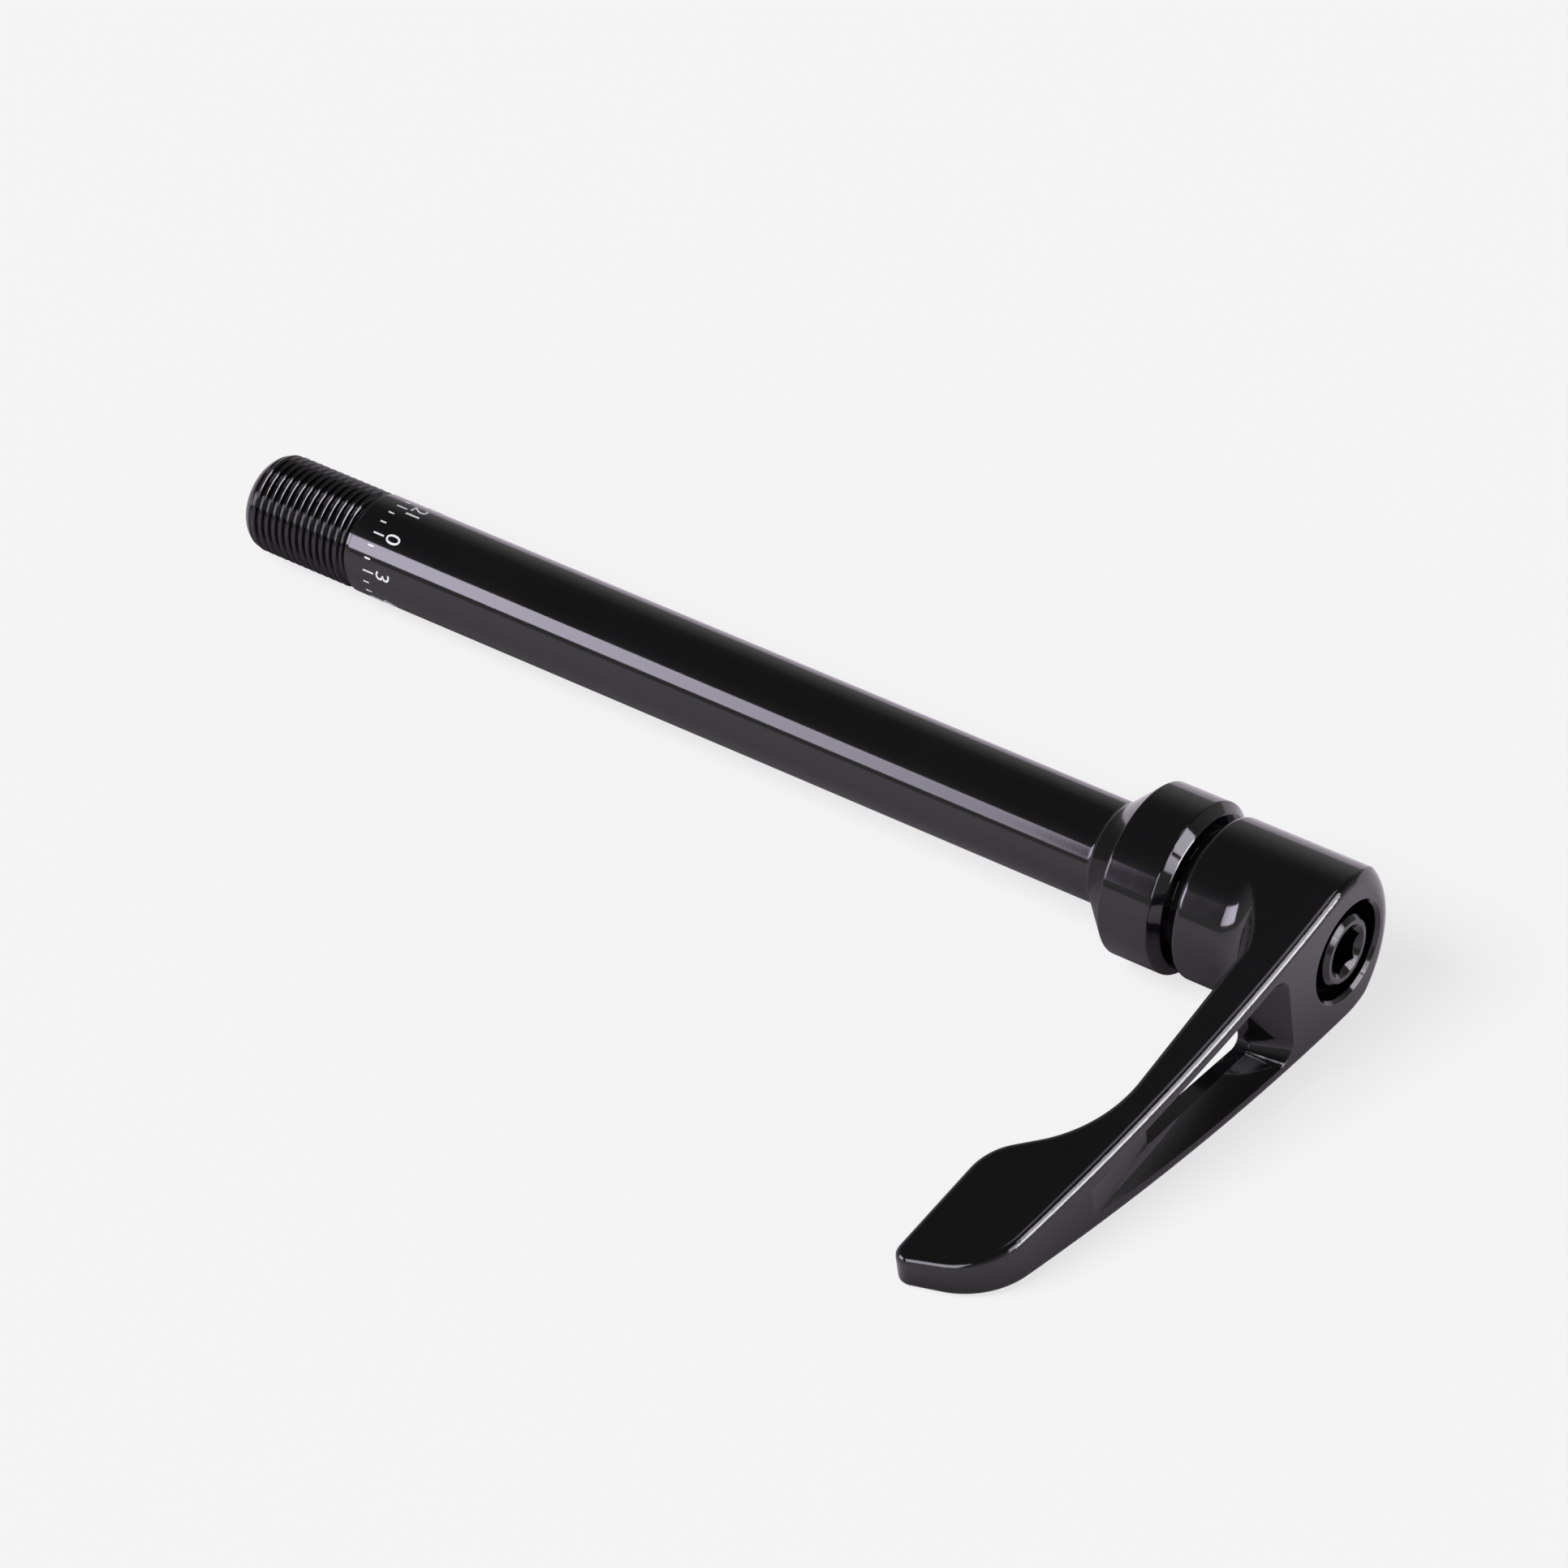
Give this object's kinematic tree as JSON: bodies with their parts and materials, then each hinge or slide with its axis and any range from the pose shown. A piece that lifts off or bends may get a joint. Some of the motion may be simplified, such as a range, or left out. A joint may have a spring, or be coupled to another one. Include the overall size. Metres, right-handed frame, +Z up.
{
  "type": "bicycle thru axle",
  "caption": "Bicycle thru axle: hollow black axle with a threaded nose, a conical seat and a flange, and an indexing lever with a windowed arm, held by a hex socket bolt.",
  "frame": {"origin": "on the axle's axis, where the shank meets its conical seat", "axes": "+X along the axle towards the lever and level, +Z up as the part lies at rest, and the lever's arm reaches towards -Y"},
  "size_m": [0.1486, 0.0711, 0.0204],
  "materials": {
    "black_anodised": "gloss",
    "black_lever": "gloss",
    "black_bolt": "satin",
    "spring_steel": "satin",
    "dark_washer": "satin"
  },
  "bodies": {
    "axle": {"axle": "black_anodised", "lever_bolt": "black_bolt"},
    "spring_pack": {"spring_washer": "dark_washer", "lever_spring": "spring_steel"},
    "lever": {"lever": "black_lever"}
  },
  "joints": [
    {"name": "lever_turn", "type": "hinge", "parent": "axle", "child": "spring_pack", "pos_m": [0.01272, 0, 0.00044], "axis": [0.9994, 0, 0.0345], "continuous": true},
    {"name": "lever_pull", "type": "slide", "parent": "spring_pack", "child": "lever", "axis": [0.9994, 0, 0.0345], "range_m": [0, 0.0032], "stiffness_N_per_m": 870, "springref_m": -0.0038, "deforming": ["lever_spring"]}
  ]
}
